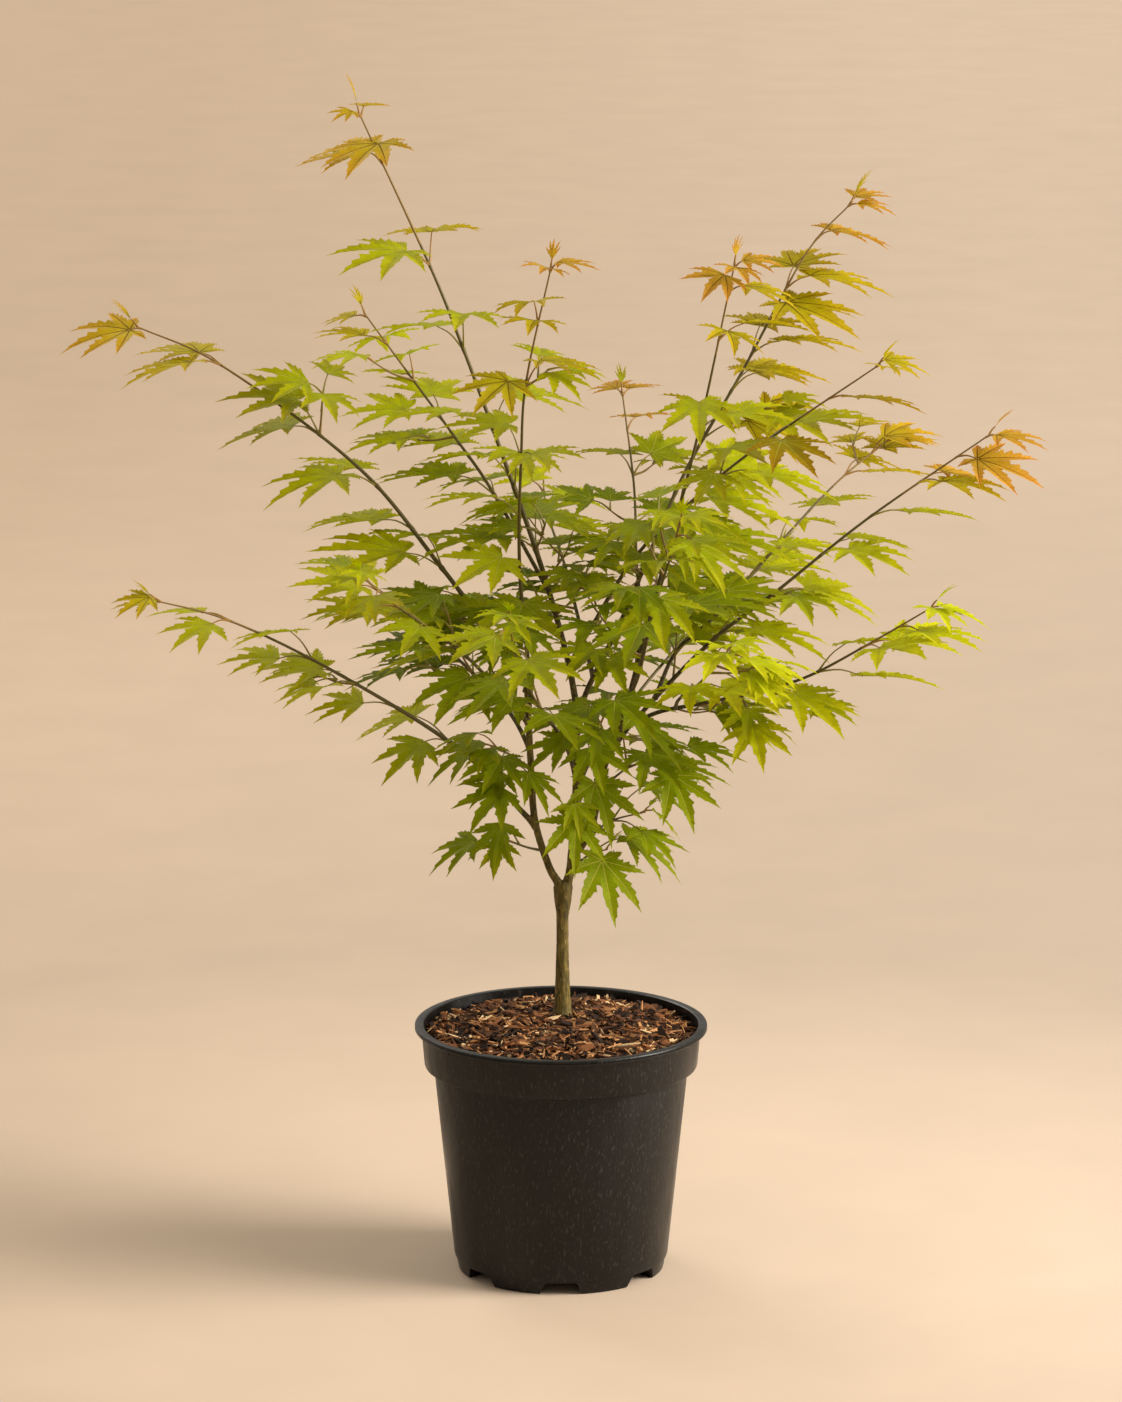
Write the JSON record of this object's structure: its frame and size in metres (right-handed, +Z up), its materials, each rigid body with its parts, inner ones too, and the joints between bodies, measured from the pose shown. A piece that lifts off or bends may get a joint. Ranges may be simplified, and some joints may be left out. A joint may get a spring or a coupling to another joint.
{
  "type": "potted japanese maple",
  "caption": "Young slender maple with palmate green-gold leaves on fine upswept shoots above a short trunk, standing in its round black nursery pot of bark mulch.",
  "frame": {"origin": "centre of the pot's flat underside, on the ground", "axes": "+Z up along the pot's axis, -Y the front of the plant, +X its right side"},
  "size_m": [0.9355, 0.7533, 1.1515],
  "materials": {
    "pot_plastic": "near-black moulded plastic with a fine grain, faint vertical drag marks and soft highlights",
    "bark_mulch": "loose dark to tan bark chips and fibres",
    "bark": "smooth olive-brown young bark with pale specks",
    "foliage": "thin satin leaves, deep green inside the crown, lime outside it, amber at the shoot tips"
  },
  "bodies": {
    "root": {"bough_back_centre": "bark", "bough_back_high": "bark", "bough_back_left": "bark", "bough_back_right": "bark", "bough_centre_front": "bark", "bough_front_left": "bark", "bough_front_right": "bark", "bough_leader": "bark", "bough_leader_back": "bark", "bough_left_front": "bark", "bough_left_low": "bark", "bough_left_mid": "bark", "bough_right_back": "bark", "bough_right_fore": "bark", "bough_right_fringe": "bark", "bough_right_front": "bark", "bough_right_high": "bark", "bough_right_low": "bark", "bough_right_mid": "bark", "foliage_back_centre": "foliage", "foliage_back_high": "foliage", "foliage_back_left": "foliage", "foliage_back_right": "foliage", "foliage_centre_front": "foliage", "foliage_front_left": "foliage", "foliage_front_right": "foliage", "foliage_leader": "foliage", "foliage_leader_back": "foliage", "foliage_left_front": "foliage", "foliage_left_low": "foliage", "foliage_left_mid": "foliage", "foliage_right_back": "foliage", "foliage_right_fore": "foliage", "foliage_right_fringe": "foliage", "foliage_right_front": "foliage", "foliage_right_high": "foliage", "foliage_right_low": "foliage", "foliage_right_mid": "foliage", "foliage_sprig_centre": "foliage", "foliage_sprig_fore_right": "foliage", "foliage_sprig_front": "foliage", "foliage_sprig_high": "foliage", "foliage_sprig_left": "foliage", "foliage_sprig_low": "foliage", "foliage_sprig_right": "foliage", "pot": "pot_plastic", "soil": "bark_mulch", "stem_centre": "bark", "stem_left": "bark", "stem_right": "bark", "trunk": "bark"}
  },
  "joints": []
}
